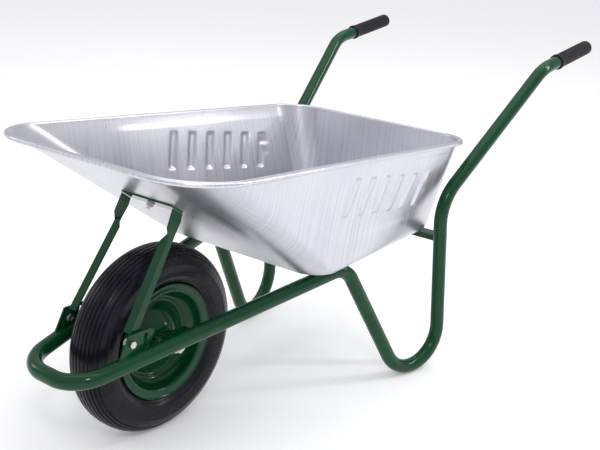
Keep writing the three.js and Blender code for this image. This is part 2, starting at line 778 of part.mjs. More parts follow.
function addAxle() {
  const { inner, thickness } = axleBracket;
  const washerLow = inner + thickness + GAP;
  const nutLow = washerLow + 2 + GAP;
  add('axle', onAxle(rod(axle.radius, -axle.halfLength, axle.halfLength, 16)), zinc);
  addPair('axle_spacer', onAxle(ring(axle.bore, 12, bearing.outer + GAP, inner - GAP, 16)), zinc);
  addPair('axle_washer', onAxle(ring(axle.bore, 15, washerLow, washerLow + 2, 16)), zinc);
  const nut = perforated(6, axle.nutRadius, axle.bore, axle.nutHeight).rotateY(Math.PI / 2).translate(nutLow, 0, 0);
  addPair('axle_nut', onAxle(nut), zinc);
}

addAxle();

// ---------------------------------------------------------------- origin

// The part's origin is on the ground, in the middle of its length and width.
const box = new THREE.Box3().setFromObject(wheelbarrow, true);
wheelbarrow.position.set(0, -(box.min.y + box.max.y) / 2, -box.min.z);

export default wheelbarrow;
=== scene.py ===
# A single-wheel garden wheelbarrow on a pale studio floor, for Blender 4.5.
# Millimetres are used for sizes and turned into metres where a mesh is made.
# y = 0 is at the wheel's axle in the sizes below; place() moves a point into the frame.

import math

import bmesh
import bpy
import numpy as np
from mathutils import Matrix, Quaternion, Vector


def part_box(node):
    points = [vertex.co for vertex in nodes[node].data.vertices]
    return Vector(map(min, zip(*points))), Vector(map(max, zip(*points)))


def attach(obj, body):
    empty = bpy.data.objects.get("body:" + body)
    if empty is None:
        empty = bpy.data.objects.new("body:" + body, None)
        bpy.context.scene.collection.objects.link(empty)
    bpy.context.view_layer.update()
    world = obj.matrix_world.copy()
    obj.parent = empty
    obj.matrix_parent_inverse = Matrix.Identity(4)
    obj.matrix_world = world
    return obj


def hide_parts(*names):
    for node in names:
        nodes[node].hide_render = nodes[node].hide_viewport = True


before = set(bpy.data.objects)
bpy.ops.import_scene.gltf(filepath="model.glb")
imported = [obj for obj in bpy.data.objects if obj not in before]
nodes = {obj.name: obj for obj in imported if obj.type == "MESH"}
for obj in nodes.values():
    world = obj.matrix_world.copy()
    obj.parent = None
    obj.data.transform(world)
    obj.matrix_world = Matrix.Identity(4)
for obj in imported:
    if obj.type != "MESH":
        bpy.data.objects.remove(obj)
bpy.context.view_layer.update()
scene = bpy.context.scene

axle_low, axle_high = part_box("axle")
AXLE = (axle_low + axle_high) / 2
MM = 0.001


def place(x, y, z):
    """A point in millimetres, with y from the axle, as a point of the frame in metres."""
    return Vector((x * MM, y * MM + AXLE.y, z * MM))


# ---------------------------------------------------------------- sizes from the CAD

TUBE_RADIUS = 16
# The left half of the bent tube: each corner, and the radius of the bend there.
TUBE_CORNERS = [
    ((319, 996, 694.4), 105),
    ((257, 667.5, 406), 120),
    ((278, 682.5, -233.4), None),
    ((198.2, 384, 302.05), 55),
    ((76.23, -262, 199.01), 72),
]
# The straight run from the bow to the leg: its x and z above the axle, and what each mm of y adds.
LOWER_RUN = {"x": 125.7, "splay": 0.1888, "z": 240.8, "rise": 0.1595}
GRIP_END = (322, 1228, 730)
GRIP = {"length": 165, "radius": 18, "collar_radius": 19.6, "end_wall": 6.3}

FLOOR = {"front": 248, "rear": 732, "half_front": 239, "half_rear": 197, "r_front": 62, "r_rear": 60}
RIM = {"front": -181, "rear": 756, "half_front": 298, "half_rear": 267.5, "r_front": 117, "r_rear": 80}
RIM_Z_FRONT, RIM_Z_REAR = 607, 542
FLOOR_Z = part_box("tray")[0].z / MM
FOLD = 23
SHEET = 1

# The pressed panel in each side wall and its slanted ribs. Heights are shares of the wall's height.
PANEL = {"front": (120, 180), "rear": (700, 650), "top": (0.93, 0.88), "depth": 1.1}
RIBS = {"count": 6, "first": 292, "pitch": 58, "slant": 62, "height": 3.6}

HUB = {"bore": 20.8, "radius": 25, "half": 50}
BALLS = {"count": 9, "circle": 14.4, "radius": 2.45, "x": 43}
AXLE_BAR = {"radius": 8, "half": 86, "thread_from": 70, "thread_to": 84, "pitch": 1.75, "root": 7.35}
AXLE_BORE = 8.4
WELD_RADIUS = 2.3
TIP = 0.01                        # the radius that closes a turned profile on its axis

SIDES = {"left": 1, "right": -1}


# ---------------------------------------------------------------- node materials

class Nodes:
    """Short names for building one material's node tree."""

    def __init__(self, name):
        self.material = bpy.data.materials.new(name)
        self.material.use_nodes = True
        self.tree = self.material.node_tree
        self.shader = self.tree.nodes["Principled BSDF"]

    def add(self, kind, **values):
        node = self.tree.nodes.new(kind)
        for key, value in values.items():
            setattr(node, key, value)
        return node

    def link(self, source, target):
        self.tree.links.new(source, target)

    def set(self, **values):
        for key, value in values.items():
            self.shader.inputs[key.replace("_", " ")].default_value = value

    def place(self, scale=(1, 1, 1)):
        """Object coordinates, stretched by the given scale."""
        coordinates = self.add("ShaderNodeTexCoord")
        mapping = self.add("ShaderNodeMapping")
        mapping.inputs["Scale"].default_value = scale
        self.link(coordinates.outputs["Object"], mapping.inputs["Vector"])
        return mapping.outputs["Vector"]

    def facing(self, axis):
        """How squarely the surface faces along an axis, from 0 to 1."""
        coordinates = self.add("ShaderNodeTexCoord")
        split = self.add("ShaderNodeSeparateXYZ")
        size = self.add("ShaderNodeMath", operation="ABSOLUTE")
        self.link(coordinates.outputs["Normal"], split.inputs[0])
        self.link(split.outputs[axis], size.inputs[0])
        return size.outputs[0]

    def noise(self, vector, scale, detail=3, roughness=0.5):
        node = self.add("ShaderNodeTexNoise")
        node.inputs["Scale"].default_value = scale
        node.inputs["Detail"].default_value = detail
        node.inputs["Roughness"].default_value = roughness
        self.link(vector, node.inputs["Vector"])
        return node.outputs["Fac"]

    def ramp(self, factor, low, high, start=0.3, end=0.7):
        """A colour, or a grey for a plain number, that goes from low to high with the factor."""
        node = self.add("ShaderNodeValToRGB")
        stops = node.color_ramp.elements
        stops[0].position, stops[1].position = start, end
        stops[0].color, stops[1].color = as_colour(low), as_colour(high)
        self.link(factor, node.inputs["Fac"])
        return node.outputs["Color"]

    def mix(self, factor, first, second):
        node = self.add("ShaderNodeMix", data_type="RGBA")
        sockets = (node.inputs["Factor"], node.inputs[6], node.inputs[7])
        for socket, value in zip(sockets, (factor, first, second)):
            if isinstance(value, (int, float)):
                socket.default_value = value
            elif isinstance(value, tuple):
                socket.default_value = as_colour(value)
            else:
                self.link(value, socket)
        return node.outputs[2]

    def bump(self, height, strength, distance, previous=None):
        node = self.add("ShaderNodeBump")
        node.inputs["Strength"].default_value = strength
        node.inputs["Distance"].default_value = distance
        self.link(height, node.inputs["Height"])
        if previous is not None:
            self.link(previous, node.inputs["Normal"])
        self.link(node.outputs["Normal"], self.shader.inputs["Normal"])
        return node.outputs["Normal"]


def as_colour(value):
    if isinstance(value, (int, float)):
        return (value, value, value, 1)
    return (*value, 1)


def painted_steel(name, dark, light):
    """Glossy powder coat: a slight orange-peel surface and a little dust in the colour."""
    m = Nodes(name)
    where = m.place()
    patches = m.noise(where, 9, 4)
    grain = m.noise(where, 420, 2)
    m.link(m.ramp(patches, dark, light), m.shader.inputs["Base Color"])
    m.link(m.ramp(patches, 0.10, 0.18), m.shader.inputs["Roughness"])
    peel = m.bump(m.noise(where, 160, 2), 0.08, 0.0005)
    m.bump(grain, 0.03, 0.0003, peel)
    m.set(Specular_IOR_Level=0.3)
    return m.material


def galvanised_sheet(name):
    """Bright zinc-coated sheet with fine drawn streaks that run up the walls."""
    m = Nodes(name)
    on_sides = m.noise(m.place((0.6, 50, 0.6)), 6, 3, 0.5)
    on_ends = m.noise(m.place((50, 0.6, 0.6)), 6, 3, 0.5)
    streaks = m.mix(m.facing("Y"), on_sides, on_ends)
    spangle = m.noise(m.place(), 34, 3)
    clouds = m.noise(m.place(), 3.5, 3)
    base = m.mix(m.ramp(streaks, 0.0, 1.0, 0.25, 0.75), (0.44, 0.44, 0.49), (0.79, 0.79, 0.83))
    tinted = m.mix(0.4, base, m.ramp(clouds, (0.52, 0.52, 0.58), (0.79, 0.79, 0.83)))
    m.link(tinted, m.shader.inputs["Base Color"])
    rough = m.mix(0.5, m.ramp(streaks, 0.24, 0.40), m.ramp(spangle, 0.28, 0.36))
    m.link(rough, m.shader.inputs["Roughness"])
    m.bump(clouds, 0.2, 0.006)
    m.set(Metallic=0.9)
    return m.material


def zinc_plate(name, colour, roughness):
    m = Nodes(name)
    cloud = m.noise(m.place(), 120, 3)
    m.link(m.ramp(cloud, tuple(0.86 * c for c in colour), colour), m.shader.inputs["Base Color"])
    m.link(m.ramp(cloud, roughness * 0.8, roughness * 1.4), m.shader.inputs["Roughness"])
    m.bump(m.noise(m.place(), 900, 2), 0.08, 0.0002)
    m.set(Metallic=1.0)
    return m.material


def rubber(name, dark, light, roughness, grain_scale, grain_depth):
    m = Nodes(name)
    where = m.place()
    bloom = m.noise(where, 22, 4)
    m.link(m.ramp(bloom, dark, light), m.shader.inputs["Base Color"])
    m.link(m.ramp(bloom, roughness * 0.85, roughness * 1.15), m.shader.inputs["Roughness"])
    soft = m.bump(m.noise(where, 60, 3), 0.12, 0.0008)
    m.bump(m.noise(where, grain_scale, 2), 0.25, grain_depth, soft)
    m.set(Specular_IOR_Level=0.2)
    return m.material


GREEN = painted_steel("green_powder_coat", (0.001, 0.042, 0.013), (0.001, 0.056, 0.019))
GALVANISED = galvanised_sheet("galvanised_sheet")
ZINC = zinc_plate("zinc_plate", (0.60, 0.60, 0.60), 0.24)
STEEL = zinc_plate("bright_steel", (0.6, 0.6, 0.6), 0.25)
TYRE = rubber("tyre_rubber", (0.004, 0.004, 0.007), (0.010, 0.010, 0.016), 0.27, 700, 0.0002)
GRIP_RUBBER = rubber("grip_rubber", (0.005, 0.004, 0.006), (0.009, 0.007, 0.010), 0.45, 900, 0.0002)
BLACK_PLASTIC = rubber("black_plastic", (0.01, 0.01, 0.011), (0.018, 0.018, 0.02), 0.4, 500, 0.0001)


def dress(obj, material):
    obj.data.materials.clear()
    obj.data.materials.append(material)
    return obj


# ---------------------------------------------------------------- meshes

def new_piece(name, points, faces, material, body, replaced=(), sharp=35):
    """A smooth-shaded mesh that rides on a body and may stand for CAD nodes."""
    mesh = bpy.data.meshes.new(name)
    mesh.from_pydata([tuple(p) for p in points], [], faces)
    mesh.validate()
    mesh.update()
    obj = bpy.data.objects.new(name, mesh)
    scene.collection.objects.link(obj)
    outward(mesh)
    mesh.shade_smooth()
    mesh.set_sharp_from_angle(angle=math.radians(sharp))
    dress(obj, material)
    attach(obj, body)
    if replaced:
        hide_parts(*replaced)
    return obj


def outward(mesh):
    """Turns every face of a closed mesh outwards."""
    work = bmesh.new()
    work.from_mesh(mesh)
    bmesh.ops.recalc_face_normals(work, faces=work.faces)
    work.to_mesh(mesh)
    work.free()


def grid_faces(rows, columns, wrap_rows=False):
    """Quads over rows of points; every row is a closed loop."""
    faces = []
    last = rows if wrap_rows else rows - 1
    for j in range(last):
        for i in range(columns):
            a = j * columns + i
            b = j * columns + (i + 1) % columns
            c = (j + 1) % rows * columns
            faces.append((a, b, c + (i + 1) % columns, c + i))
    return faces


def capped(rows, columns):
    """Quads over rows of points, with the first and the last row closed by one face each."""
    first = tuple(range(columns))[::-1]
    last = tuple((rows - 1) * columns + i for i in range(columns))
    return [*grid_faces(rows, columns), first, last]


def lathe_points(profile, segments, origin, axis, start):
    """A profile of (radius, distance along axis) in millimetres, turned about the axis."""
    axis = axis.normalized()
    side = (start - start.dot(axis) * axis).normalized()
    other = axis.cross(side)
    points = []
    for radius, along in profile:
        for i in range(segments):
            angle = 2 * math.pi * i / segments
            reach = side * math.cos(angle) + other * math.sin(angle)
            points.append(origin + axis * along * MM + reach * radius * MM)
    return points


def ring_piece(name, profile, segments, origin, axis, material, body, replaced=(), sharp=35):
    """A closed ring: the profile is a loop round the ring's section."""
    start = Vector((0, 0, 1)) if abs(axis.z) < 0.9 else Vector((1, 0, 0))
    points = lathe_points(profile, segments, origin, axis, start)
    faces = grid_faces(len(profile), segments, wrap_rows=True)
    return new_piece(name, points, faces, material, body, replaced, sharp)


def solid_turned(name, profile, segments, origin, axis, material, body, replaced=(), sharp=35):
    """A solid of revolution: the profile runs from one end's centre to the other's."""
    start = Vector((0, 0, 1)) if abs(axis.z) < 0.9 else Vector((1, 0, 0))
    points = lathe_points(profile, segments, origin, axis, start)
    return new_piece(name, points, capped(len(profile), segments), material, body, replaced, sharp)


def smooth_line(points, steps):
    """A rounder line through the same points (Catmull-Rom)."""
    p = [np.array(q, float) for q in points]
    p = [2 * p[0] - p[1], *p, 2 * p[-1] - p[-2]]
    line = []
    for i in range(1, len(p) - 2):
        for k in range(steps):
            t = k / steps
            a, b, c, d = p[i - 1], p[i], p[i + 1], p[i + 2]
            line.append(0.5 * (2 * b + (c - a) * t + (2 * a - 5 * b + 4 * c - d) * t ** 2
                               + (3 * b - a - 3 * c + d) * t ** 3))
    line.append(p[-2])
    return [tuple(q) for q in line]


def thick_line(middle, thickness):
    """The closed loop round a sheet's section, given its middle line."""
    p = [np.array(q, float) for q in middle]
    sides = ([], [])
    for i in range(len(p)):
        along = p[min(i + 1, len(p) - 1)] - p[max(i - 1, 0)]
        along /= np.linalg.norm(along)
        normal = np.array([-along[1], along[0]]) * thickness / 2
        sides[0].append(tuple(p[i] + normal))
        sides[1].append(tuple(p[i] - normal))
    return sides[0] + sides[1][::-1]


# ---------------------------------------------------------------- the bent tube

def bend_stations(before, corner, after, radius, steps):
    """Points and directions round one bend, tangent to both straight runs."""
    into = (corner - before).normalized()
    out = (after - corner).normalized()
    turn = into.angle(out)
    start = corner - into * radius * math.tan(turn / 2)
    inward = (out - into * out.dot(into)).normalized()
    stations = []
    for i in range(steps + 1):
        angle = turn * i / steps
        point = start + into * radius * math.sin(angle) + inward * radius * (1 - math.cos(angle))
        stations.append((point, into * math.cos(angle) + inward * math.sin(angle)))
    return stations


def foot_radius(before, corner, after):
    """The bend radius at which the tube's underside just meets the ground."""
    up = (before - corner).normalized()
    back = (after - corner).normalized()
    half = up.angle(back) / 2
    bisector = (up + back).normalized()
    return (TUBE_RADIUS - corner.z) / (bisector.z / math.sin(half) - 1)


def tube_stations():
    """The whole centre line in millimetres, from the left handle round the bow to the right one."""
    corners = [Vector(c) for c, _ in TUBE_CORNERS]
    radii = [r for _, r in TUBE_CORNERS]
    end = Vector(GRIP_END)
    handle = (end - corners[0]).normalized()
    start = end - handle * GRIP["end_wall"]
    across = corners[-1].copy()
    across.x = -across.x
    line = [start, *corners, across]
    radii[2] = foot_radius(corners[1], corners[2], corners[3])
    left = [(start, (corners[0] - start).normalized())]
    for i, radius in enumerate(radii):
        left += bend_stations(line[i], line[i + 1], line[i + 2], radius, 16)
    mirrored = [(Vector((-p.x, p.y, p.z)), Vector((t.x, -t.y, -t.z))) for p, t in reversed(left)]
    return left + mirrored


def sweep(name, stations, radius_at, sides, material, body, replaced=(), sharp=35):
    """A round bar along points and directions; radius_at gives the radius at each station."""
    first = stations[0][1]
    side = first.orthogonal().normalized()
    points = []
    previous = first
    for j, (point, tangent) in enumerate(stations):
        side = previous.rotation_difference(tangent) @ side
        side = (side - tangent * side.dot(tangent)).normalized()
        other = tangent.cross(side)
        previous = tangent
        for i in range(sides):
            angle = 2 * math.pi * i / sides
            reach = side * math.cos(angle) + other * math.sin(angle)
            points.append(place(*(point + reach * radius_at(j))))
    return new_piece(name, points, capped(len(stations), sides), material, body, replaced, sharp)


TUBE = tube_stations()
sweep("frame_tube_bent", TUBE, lambda j: TUBE_RADIUS, 40, GREEN, "frame", ["frame_tube"], 60)


def weld(name, start, end):
    """A rippled weld bead along a line, half sunk into the metal."""
    a, b = Vector(start), Vector(end)
    along = (b - a).normalized()
    steps = max(8, int((b - a).length / 1.3))
    stations = [(a.lerp(b, i / steps), along) for i in range(steps + 1)]

    def radius_at(j):
        fade = min(1, (min(j, steps - j) + 0.6) / 2.5)
        return WELD_RADIUS * fade * (1 + 0.12 * math.sin(j * 1.9))

    sweep(name, stations, radius_at, 8, GREEN, "frame", sharp=80)


# ---------------------------------------------------------------- grips

def build_grip(side, sign):
    """A ribbed rubber sleeve with a raised collar and a rounded closed end."""
    end = Vector(GRIP_END)
    corner = Vector(TUBE_CORNERS[0][0])
    end.x *= sign
    corner.x *= sign
    axis = (end - corner).normalized()
    radius, collar = GRIP["radius"], GRIP["collar_radius"]
    start = -GRIP["length"]
    outline = [
        (16.4, start), (collar - 1, start), (collar - 0.2, start + 0.7), (collar, start + 2),
        (collar, start + 6), (collar - 0.4, start + 8), (radius, start + 10),
    ]
    ribbed_from, ribbed_to = start + 13, -11
    steps = 14
    outline += [(radius, ribbed_from + (ribbed_to - ribbed_from) * i / steps) for i in range(steps + 1)]
    outline += [(radius, -6), (radius - 0.6, -3), (radius - 2.2, -1.2), (radius - 5, -0.3), (2, 0)]
    segments = 192
    tilt = axis.to_track_quat("Z", "Y")
    points = []
    for r, along in outline:
        share = min(1, max(0, min(along - start - 10, -8 - along) / 4))
        for i in range(segments):
            angle = 2 * math.pi * i / segments
            rib = 0.5 + 0.5 * math.cos(24 * angle)
            depth = 1.15 * share * (1 - rib ** 0.7)
            local = Vector(((r - depth) * math.cos(angle), (r - depth) * math.sin(angle), along))
            points.append(place(*(end + tilt @ local)))
    faces = capped(len(outline), segments)
    grip = new_piece(f"{side}_grip_ribbed", points, faces, GRIP_RUBBER, "frame", [f"{side}_grip"], 50)


for side, sign in SIDES.items():
    build_grip(side, sign)


# ---------------------------------------------------------------- tray

def tapered_outline(spec, corner_steps, side_shares, end_shares):
    """The outline's points in order, seen from above: left front corner first, then rearwards."""
    front, rear = spec["front"], spec["rear"]
    hf, hr = spec["half_front"], spec["half_rear"]
    corners = [
        (Vector((hf, front, 0)), spec["r_front"]), (Vector((hr, rear, 0)), spec["r_rear"]),
        (Vector((-hr, rear, 0)), spec["r_rear"]), (Vector((-hf, front, 0)), spec["r_front"]),
    ]
    arcs = []
    for i, (corner, radius) in enumerate(corners):
        before, after = corners[i - 1][0], corners[(i + 1) % 4][0]
        arcs.append([p for p, _ in bend_stations(before, corner, after, radius, corner_steps)])
    shares = [side_shares, end_shares, [1 - s for s in reversed(side_shares)], end_shares]
    outline = []
    for i, arc in enumerate(arcs):
        outline += arc
        following = arcs[(i + 1) % 4][0]
        outline += [arc[-1].lerp(following, s) for s in shares[i]]
    return outline


def step_shares(start, end, fine_from, fine_to, coarse, fine):
    """Shares between start and end, closer together in the finer stretch."""
    shares = []
    at = start
    while at < end - 1e-6:
        shares.append(at)
        at += fine if fine_from <= at < fine_to else coarse
    return shares


def smoothstep(value, low, high):
    t = min(1, max(0, (value - low) / (high - low)))
    return t * t * (3 - 2 * t)


def pressing(y, height):
    """How far the side wall is pressed outwards, from y and the share of the wall's height."""
    lower = 0.24 + 0.38 * smoothstep(y, 330, 90) if y < 330 else 0.24
    inside = smoothstep(y, *PANEL["front"]) * smoothstep(y, *PANEL["rear"])
    inside *= smoothstep(height, lower, lower + 0.07) * smoothstep(height, *PANEL["top"])
    return RIBS["height"] * rib_share(y, height) - PANEL["depth"] * inside


def rib_share(y, height):
    """1 on top of a slanted rib, 0 between the ribs."""
    along = (y - 262) / 380
    base = 0.50 - 0.14 * along
    top = 0.86 - 0.13 * along
    share = 0
    if base - 0.05 < height < top + 0.05:
        for k in range(RIBS["count"]):
            centre = RIBS["first"] + RIBS["pitch"] * k + (height - base) * RIBS["slant"]
            across = smoothstep(abs(y - centre), 12, 6.5)
            ends = smoothstep(height, base, base + 0.03) * smoothstep(height, top, top - 0.03)
            share = max(share, across * ends)
    return share


def tray_rings():
    """The sheet's underside, as rings of points from the middle of the floor to the rolled edge."""
    side = step_shares(0.012, 0.995, 0.24, 0.86, 0.02, 0.0052)
    ends = [i / 24 for i in range(1, 24)]
    low = tapered_outline(FLOOR, 16, side, ends)
    high = tapered_outline(RIM, 16, side, ends)
    for p in low:
        p.z = FLOOR_Z
    for p in high:
        share = (p.y - RIM["front"]) / (RIM["rear"] - RIM["front"])
        p.z = RIM_Z_FRONT + (RIM_Z_REAR - RIM_Z_FRONT) * share
    flat = inset(low, FOLD)
    centre = sum(flat, Vector()) / len(flat)
    rings = [[centre.lerp(p, s) for p in flat] for s in (0.05, 0.25, 0.5, 0.75, 0.92)]
    fold_end = [a + (b - a).normalized() * FOLD for a, b in zip(low, high)]
    for step in range(9):
        t = step / 8
        rings.append([f * (1 - t) ** 2 + p * 2 * t * (1 - t) + e * t ** 2
                      for f, p, e in zip(flat, low, fold_end)])
    facing = [(p - q).normalized() for p, q in zip(inset(high, -1), high)]
    for height in wall_heights():
        rings.append([pressed(a, b, height, f) for a, b, f in zip(low, high, facing)])
    return rings + bead_rings(high)


def wall_heights():
    heights = [0.1, 0.13, 0.16, 0.19]
    heights += [0.22 + 0.0105 * i for i in range(65)]
    return heights + [0.92, 0.945, 0.97]


def pressed(low, high, height, facing):
    """A point of the wall, moved by the pressing where the wall faces sideways."""
    point = low.lerp(high, height)
    if abs(facing.x) < 0.97:
        return point
    up = (high - low).normalized()
    normal = (facing - up * facing.dot(up)).normalized()
    return point + normal * pressing(point.y, height)


def inset(points, distance):
    count = len(points)
    moved = []
    for i, p in enumerate(points):
        along = (points[(i + 1) % count] - points[i - 1]).normalized()
        moved.append(p + Vector((-along.y, along.x, 0)) * distance)
    return moved


def bead_section():
    """The rolled edge's section as (outwards, up): a bend, a short flat lip, and a curl under it."""
    bend, curl = 3.2, 4.2
    section = []
    for degrees in range(0, 91, 15):
        angle = math.radians(degrees)
        section.append((bend * (1 - math.cos(angle)), bend * math.sin(angle)))
    reach, top = section[-1]
    section += [(reach + 1.8, top - 1.0), (reach + 3.4, top - 1.6)]
    centre = (reach + 4.6, top - 4.6)
    for degrees in range(110, -151, -20):
        angle = math.radians(degrees)
        section.append((centre[0] + curl * math.cos(angle), centre[1] + curl * math.sin(angle)))
    return section


def bead_rings(outline):
    """The rolled edge: it leaves the wall at its top and ends curled under its lip."""
    outward_dirs = []
    for p, q in zip(inset(outline, -1), outline):
        d = p - q
        d.z = 0
        outward_dirs.append(d.normalized())
    return [[p + d * reach + Vector((0, 0, lift)) for p, d in zip(outline, outward_dirs)]
            for reach, lift in bead_section()]


def build_tray():
    rings = tray_rings()
    columns = len(rings[0])
    points = [place(*p) for ring in rings for p in ring]
    faces = grid_faces(len(rings), columns)
    faces.append(tuple(range(columns))[::-1])
    mesh = bpy.data.meshes.new("tray_pressed")
    mesh.from_pydata([tuple(p) for p in points], [], faces)
    mesh.update()
    tray = bpy.data.objects.new("tray_pressed", mesh)
    scene.collection.objects.link(tray)
    mesh.shade_smooth()
    dress(tray, GALVANISED)
    thickness = tray.modifiers.new("sheet", "SOLIDIFY")
    thickness.thickness = SHEET * MM
    thickness.offset = -1 if faces_down(mesh) else 1
    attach(tray, "frame")
    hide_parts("tray")


def faces_down(mesh):
    """True if the floor's faces look down, so that the sheet thickens upwards from them."""
    return mesh.polygons[-1].normal.z < 0


build_tray()


# ---------------------------------------------------------------- wheel

X = Vector((1, 0, 0))

TYRE_SECTION = [
    (197, 0), (196.7, 9), (195.2, 18), (192.2, 26), (187.4, 33.2), (180.5, 39.8), (171, 45.4),
    (161.5, 48.9), (152, 49.9), (143.5, 49.4), (136, 47.5), (129.5, 43.6), (124.3, 39.6), (121.2, 37.4),
]
GROOVES = [0, 10, 19.5, 28.5, 37, 45]


def tyre_outline():
    """Half of the tyre's outer section with its tread grooves, as (radius, x) points."""
    base = np.array(smooth_line(TYRE_SECTION, 12))
    steps = np.linalg.norm(np.diff(base, axis=0), axis=1)
    run = np.concatenate([[0], np.cumsum(steps)])
    fine = np.unique(np.concatenate([
        np.linspace(0, 54, 110), np.linspace(54, run[-1], 44),
    ]))
    r = np.interp(fine, run, base[:, 0])
    x = np.interp(fine, run, base[:, 1])
    normal = np.stack([np.gradient(x, fine), -np.gradient(r, fine)], axis=1)
    normal /= np.linalg.norm(normal, axis=1)[:, None]
    relief = np.array([tyre_relief(s, radius) for s, radius in zip(fine, r)])
    return [(a + n[0] * h, b + n[1] * h) for a, b, n, h in zip(r, x, normal, relief)]


def tyre_relief(run, radius):
    """Grooves between the tread's ribs, and thin raised rings on the sidewall."""
    depth = 0
    for groove in GROOVES:
        depth = max(depth, smoothstep(abs(run - groove), 2.3, 1.1))
    rings = smoothstep(abs(radius - 163), 1.6, 0.6) + 0.8 * smoothstep(abs(radius - 139), 1.5, 0.5)
    return -2.8 * depth + 0.9 * rings - 0.6 * smoothstep(abs(radius - 127.5), 1.4, 0.4)


def build_tyre():
    half = tyre_outline()
    inside = [(119.4, 36.6), (110, 36.4), (105.4, 34.1), (103.9, 30), (104, 26), (116, 32.5),
              (150, 42.5), (178, 30.5), (188.3, 0)]
    loop = half + inside
    mirrored = [(r, -x) for r, x in reversed(loop[1:-1])]
    tyre = ring_piece("tyre_moulded", loop + mirrored, 192, AXLE, X, TYRE, "wheel", ["tyre"], 70)


def build_tread_pips():
    """The small moulding pips on the tread's ribs, one short pin each, as one piece."""
    points, faces = [], []
    rows = [(195.6, 14.5), (191.6, 24), (186, 33)]
    for ring, (radius, x) in enumerate(rows + [(r, -x) for r, x in rows]):
        for k in range(14):
            angle = 2 * math.pi * (k + 0.37 * ring) / 14
            out = Vector((0.12 * x / 20, math.cos(angle), math.sin(angle))).normalized()
            base = AXLE + Vector((x, radius * math.cos(angle), radius * math.sin(angle))) * MM
            add_pin(points, faces, base, out, 0.75, 1.1)
    new_piece("tyre_tread_pips", points, faces, TYRE, "wheel")


def add_pin(points, faces, base, direction, radius, length):
    side = direction.orthogonal().normalized()
    other = direction.cross(side)
    first = len(points)
    for reach, along in ((radius, -0.6), (radius, length * 0.7), (radius * 0.5, length)):
        for i in range(8):
            angle = 2 * math.pi * i / 8
            round_ = side * math.cos(angle) + other * math.sin(angle)
            points.append(base + (round_ * reach + direction * along) * MM)
    faces.extend(tuple(first + v for v in face) for face in capped(3, 8))


RIM_SECTION = [
    (121.2, 42.2), (119.6, 40.6), (117.4, 39.2), (113, 38.7), (108.4, 38.6), (105.2, 37.9), (102.9, 35.6),
    (101.8, 31), (100.9, 24), (98, 17), (93, 11), (87.6, 6.6), (84.6, 6.4), (82.2, 4.0), (79, 2.2),
    (75, 2.6), (69, 6.4), (60, 14.8), (50, 22.8), (41, 29), (33, 33.6), (26.6, 36.4),
]


def build_rims():
    section = smooth_line(RIM_SECTION, 5)
    for side, sign in SIDES.items():
        middle = [(r, sign * x) for r, x in section]
        loop = thick_line(middle, 2.1)
        name = f"{side}_rim_pressed"
        rim = ring_piece(name, loop, 160, AXLE, X, GREEN, "wheel", [f"{side}_rim_half"], 60)
        hub_weld(side, sign)
    bore, radius, half = HUB["bore"], HUB["radius"], HUB["half"]
    hub = [(bore, -half + 0.8), (bore + 0.8, -half), (radius - 1, -half), (radius, -half + 1),
           (radius, half - 1), (radius - 1, half), (bore + 0.8, half), (bore, half - 0.8)]
    ring_piece("hub_tube_turned", hub, 96, AXLE, X, GREEN, "wheel", ["hub_tube"])


def hub_weld(side, sign):
    """The weld ring where the dished disc meets the hub tube."""
    profile = [(25.2 + 1.9 * math.cos(a), sign * 37.5 + 1.9 * math.sin(a))
               for a in (2 * math.pi * i / 10 for i in range(10))]
    ring = ring_piece(f"{side}_hub_weld", profile, 192, AXLE, X, GREEN, "wheel", sharp=80)
    for v in ring.data.vertices:
        reach = v.co - AXLE
        angle = math.atan2(reach.z, reach.y)
        reach.x = 0
        v.co += reach.normalized() * 0.00016 * math.sin(24 * angle)


def chamfered_ring(name, bore, radius, ends, material, body, replaced):
    """A turned ring on the axle, with its edges broken; ends are its two x values."""
    low, high = sorted(ends)
    edge = 0.5
    profile = [
        (bore, low + edge), (bore + edge, low), (radius - edge, low), (radius, low + edge),
        (radius, high - edge), (radius - edge, high), (bore + edge, high), (bore, high - edge),
    ]
    ring_piece(name, profile, 64, AXLE, X, material, body, [replaced])


def build_axle():
    r, half = AXLE_BAR["radius"], AXLE_BAR["half"]
    start, end = AXLE_BAR["thread_from"], AXLE_BAR["thread_to"]
    bar = [(TIP, -half), (r - 1.4, -half), (r, 1.4 - half), (r, half - 1.4), (r - 1.4, half), (TIP, half)]
    threaded = bar[:3] + thread(-end, -start) + thread(start, end) + bar[3:]
    solid_turned("axle_bar", threaded, 48, AXLE, X, ZINC, "frame", ["axle"])
    for side, sign in SIDES.items():
        rings = [
            ("spacer_turned", AXLE_BORE, 12, (49.3, 65.7), ZINC, "frame", "axle_spacer"),
            ("washer_turned", AXLE_BORE, 15, (70.3, 72.3), ZINC, "frame", "axle_washer"),
            ("outer_race_turned", 17.2, 20.4, (37, 49), STEEL, "wheel", "bearing_outer_race"),
            ("inner_race_turned", AXLE_BORE, 11.6, (37, 49), STEEL, "frame", "bearing_inner_race"),
        ]
        for name, bore, radius, ends, material, body, node in rings:
            ends = [sign * x for x in ends]
            chamfered_ring(f"{side}_{name}", bore, radius, ends, material, body, f"{side}_{node}")
        build_balls(side, sign)


def thread(low, high):
    """The ridges of a thread as a profile: pairs of root and crest."""
    pitch = AXLE_BAR["pitch"]
    ridge = []
    for i in range(int((high - low) / pitch)):
        ridge += [(AXLE_BAR["root"], low + pitch * i), (AXLE_BAR["radius"], low + pitch * (i + 0.5))]
    return ridge


